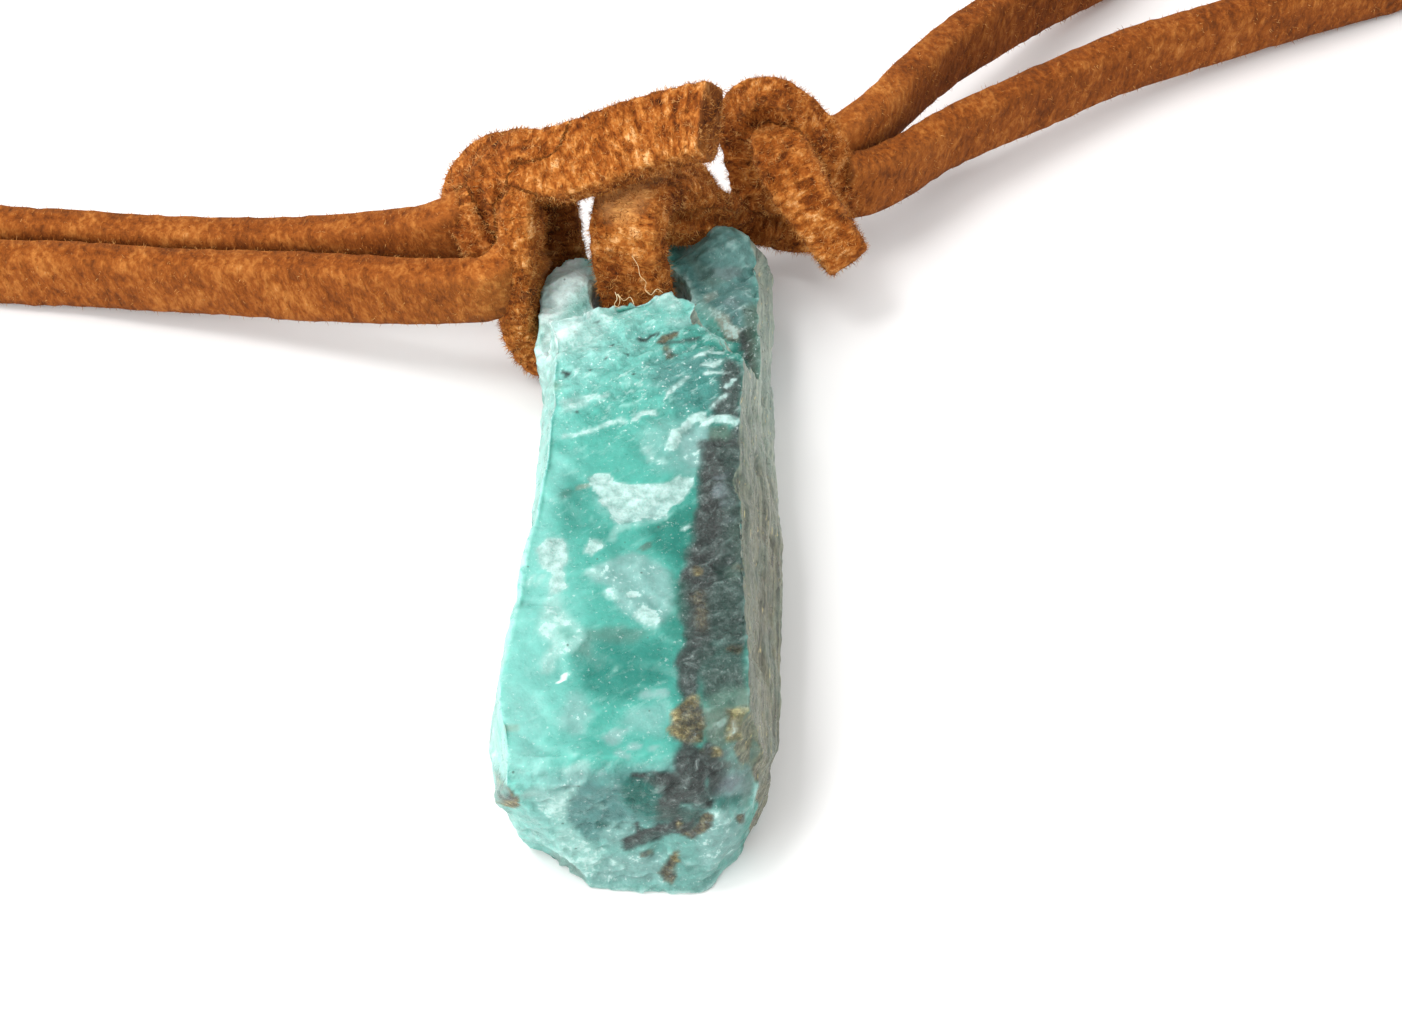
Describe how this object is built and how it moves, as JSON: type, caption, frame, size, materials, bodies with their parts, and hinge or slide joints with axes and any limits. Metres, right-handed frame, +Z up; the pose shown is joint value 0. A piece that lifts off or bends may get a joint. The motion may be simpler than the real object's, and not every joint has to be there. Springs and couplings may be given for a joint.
{
  "type": "raw emerald",
  "caption": "Raw emerald crystal with broken ends, lying on its flat back, drilled through its narrow end and tied on a flat suede neck lace.",
  "frame": {"origin": "on the stone's flat underside, under the middle of its front face", "axes": "+Y along the stone towards its drilled end, +Z up out of the front face"},
  "size_m": [0.0729, 0.0873, 0.0118],
  "materials": {
    "emerald": "raw translucent teal crystal, satin, with whitish bruised patches and dark mica",
    "suede": "napped orange-brown suede"
  },
  "bodies": {
    "root": {"emerald": "emerald", "tie_lace": "suede", "neck_lace_left_front": "suede", "neck_lace_left_back": "suede", "neck_lace_right_upper": "suede", "neck_lace_right_lower": "suede", "lace_coil": "suede"}
  },
  "joints": []
}
